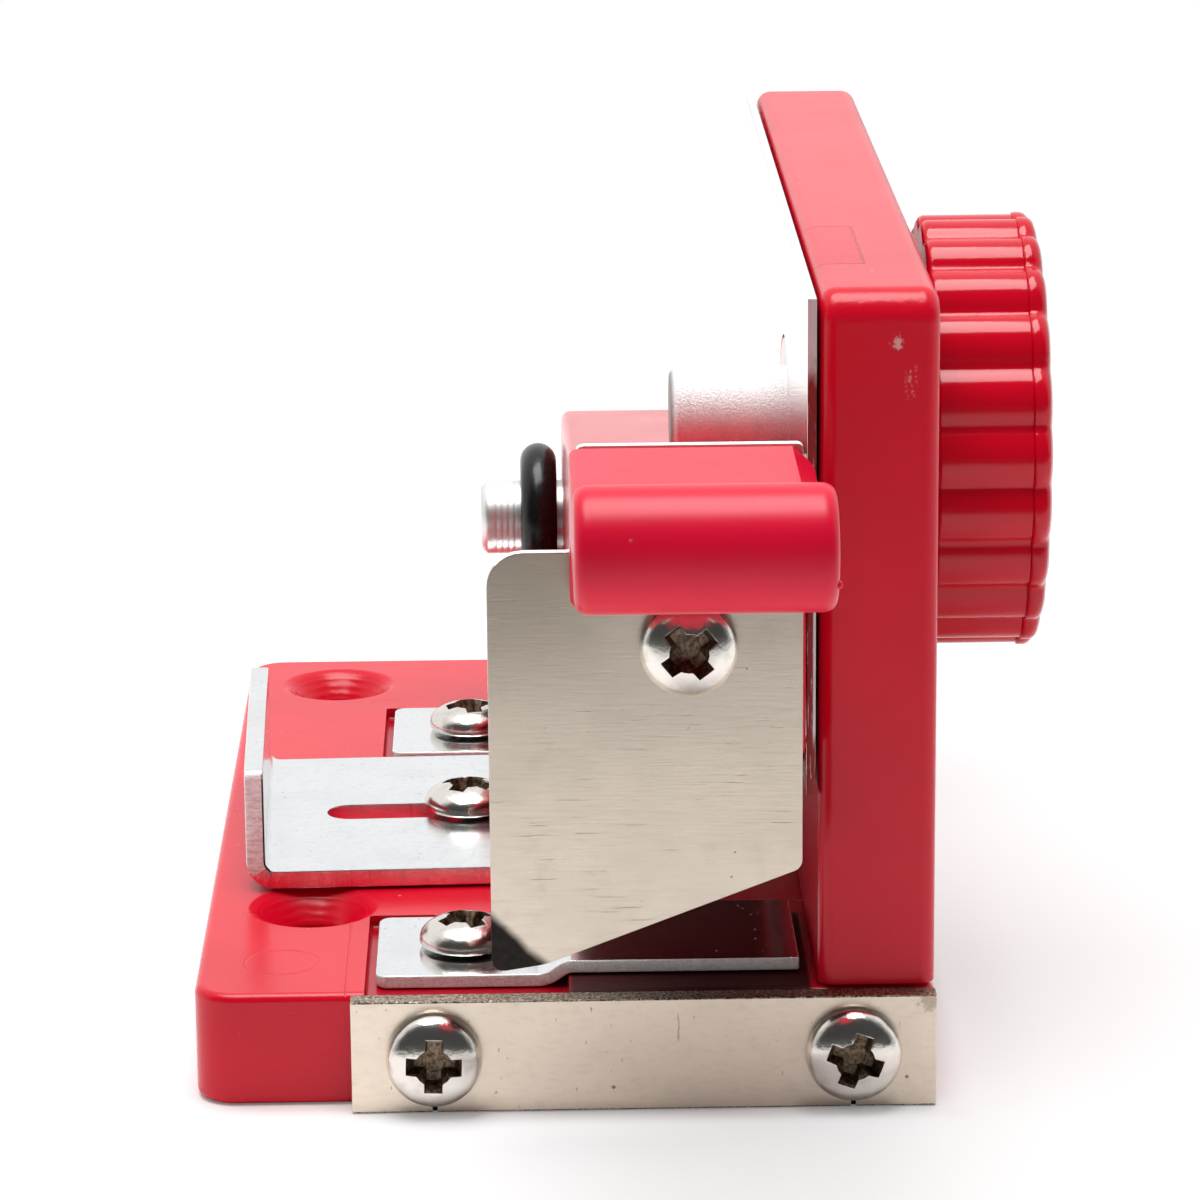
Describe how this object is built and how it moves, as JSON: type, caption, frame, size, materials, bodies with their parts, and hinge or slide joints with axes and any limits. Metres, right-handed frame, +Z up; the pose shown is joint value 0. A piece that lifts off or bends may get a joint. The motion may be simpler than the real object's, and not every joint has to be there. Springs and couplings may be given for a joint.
{
  "type": "quilling fringer",
  "caption": "Desk fringer: hinged lever with a sheet blade that shears past a fixed strap, paper hold-downs, sliding strip guide and stop knob.",
  "frame": {"origin": "centre of the base plate's underside", "axes": "+Z up; -Y towards the blade and handle (near end); +X towards the upright wall and the knob"},
  "size_m": [0.0748, 0.1454, 0.0705],
  "materials": {
    "red_plastic": "glossy moulded plastic",
    "nickel": "nickel plated, warm satin",
    "screw_nickel": "nickel plated, bright",
    "zinc": "bright zinc plated sheet",
    "polished_sheet": "mirror polished sheet",
    "blade_steel": "rolled sheet, fine horizontal grain",
    "shaft_steel": "turned, bright",
    "pin_steel": "turned, grainy satin",
    "rubber": "smooth black rubber",
    "spring_steel": "drawn wire"
  },
  "bodies": {
    "frame": {"base_plate": "red_plastic", "back_plate": "red_plastic", "face_plate": "polished_sheet", "fixed_blade": "nickel", "fixed_blade_screw_left": "screw_nickel", "fixed_blade_screw_right": "screw_nickel", "near_hold_down": "zinc", "far_hold_down": "zinc", "near_hold_down_screw": "screw_nickel", "far_hold_down_screw": "screw_nickel", "guide_screw": "screw_nickel", "base_screw_1": "screw_nickel", "base_screw_2": "screw_nickel", "base_screw_3": "screw_nickel", "pivot_shaft": "shaft_steel", "shaft_screw": "screw_nickel", "shaft_ring": "rubber", "knob_washer": "zinc"},
    "lever": {"lever_arm": "red_plastic", "handle": "red_plastic", "handle_screw_left": "screw_nickel", "handle_screw_right": "screw_nickel", "moving_blade": "blade_steel", "blade_screw": "screw_nickel", "return_spring": "spring_steel"},
    "guide": {"strip_guide": "zinc"},
    "knob_assembly": {"knob": "red_plastic", "knob_spindle": "shaft_steel", "stop_pin": "pin_steel", "knob_screw": "screw_nickel"}
  },
  "joints": [
    {"name": "lever_press", "type": "hinge", "parent": "frame", "child": "lever", "pos_m": [0, 0.0355, 0.0297], "axis": [1, 0, 0], "range_deg": [0, 7], "stiffness_Nm_per_rad": 0.35, "springref_deg": -17.19},
    {"name": "guide_slide", "type": "slide", "parent": "frame", "child": "guide", "axis": [0.9995, 0.0314, 0], "range_m": [-0.002, 0.011]},
    {"name": "knob_turn", "type": "hinge", "parent": "frame", "child": "knob_assembly", "pos_m": [0.03175, -0.018, 0.0508], "axis": [-1, 0, 0], "range_deg": [0, 115]}
  ]
}
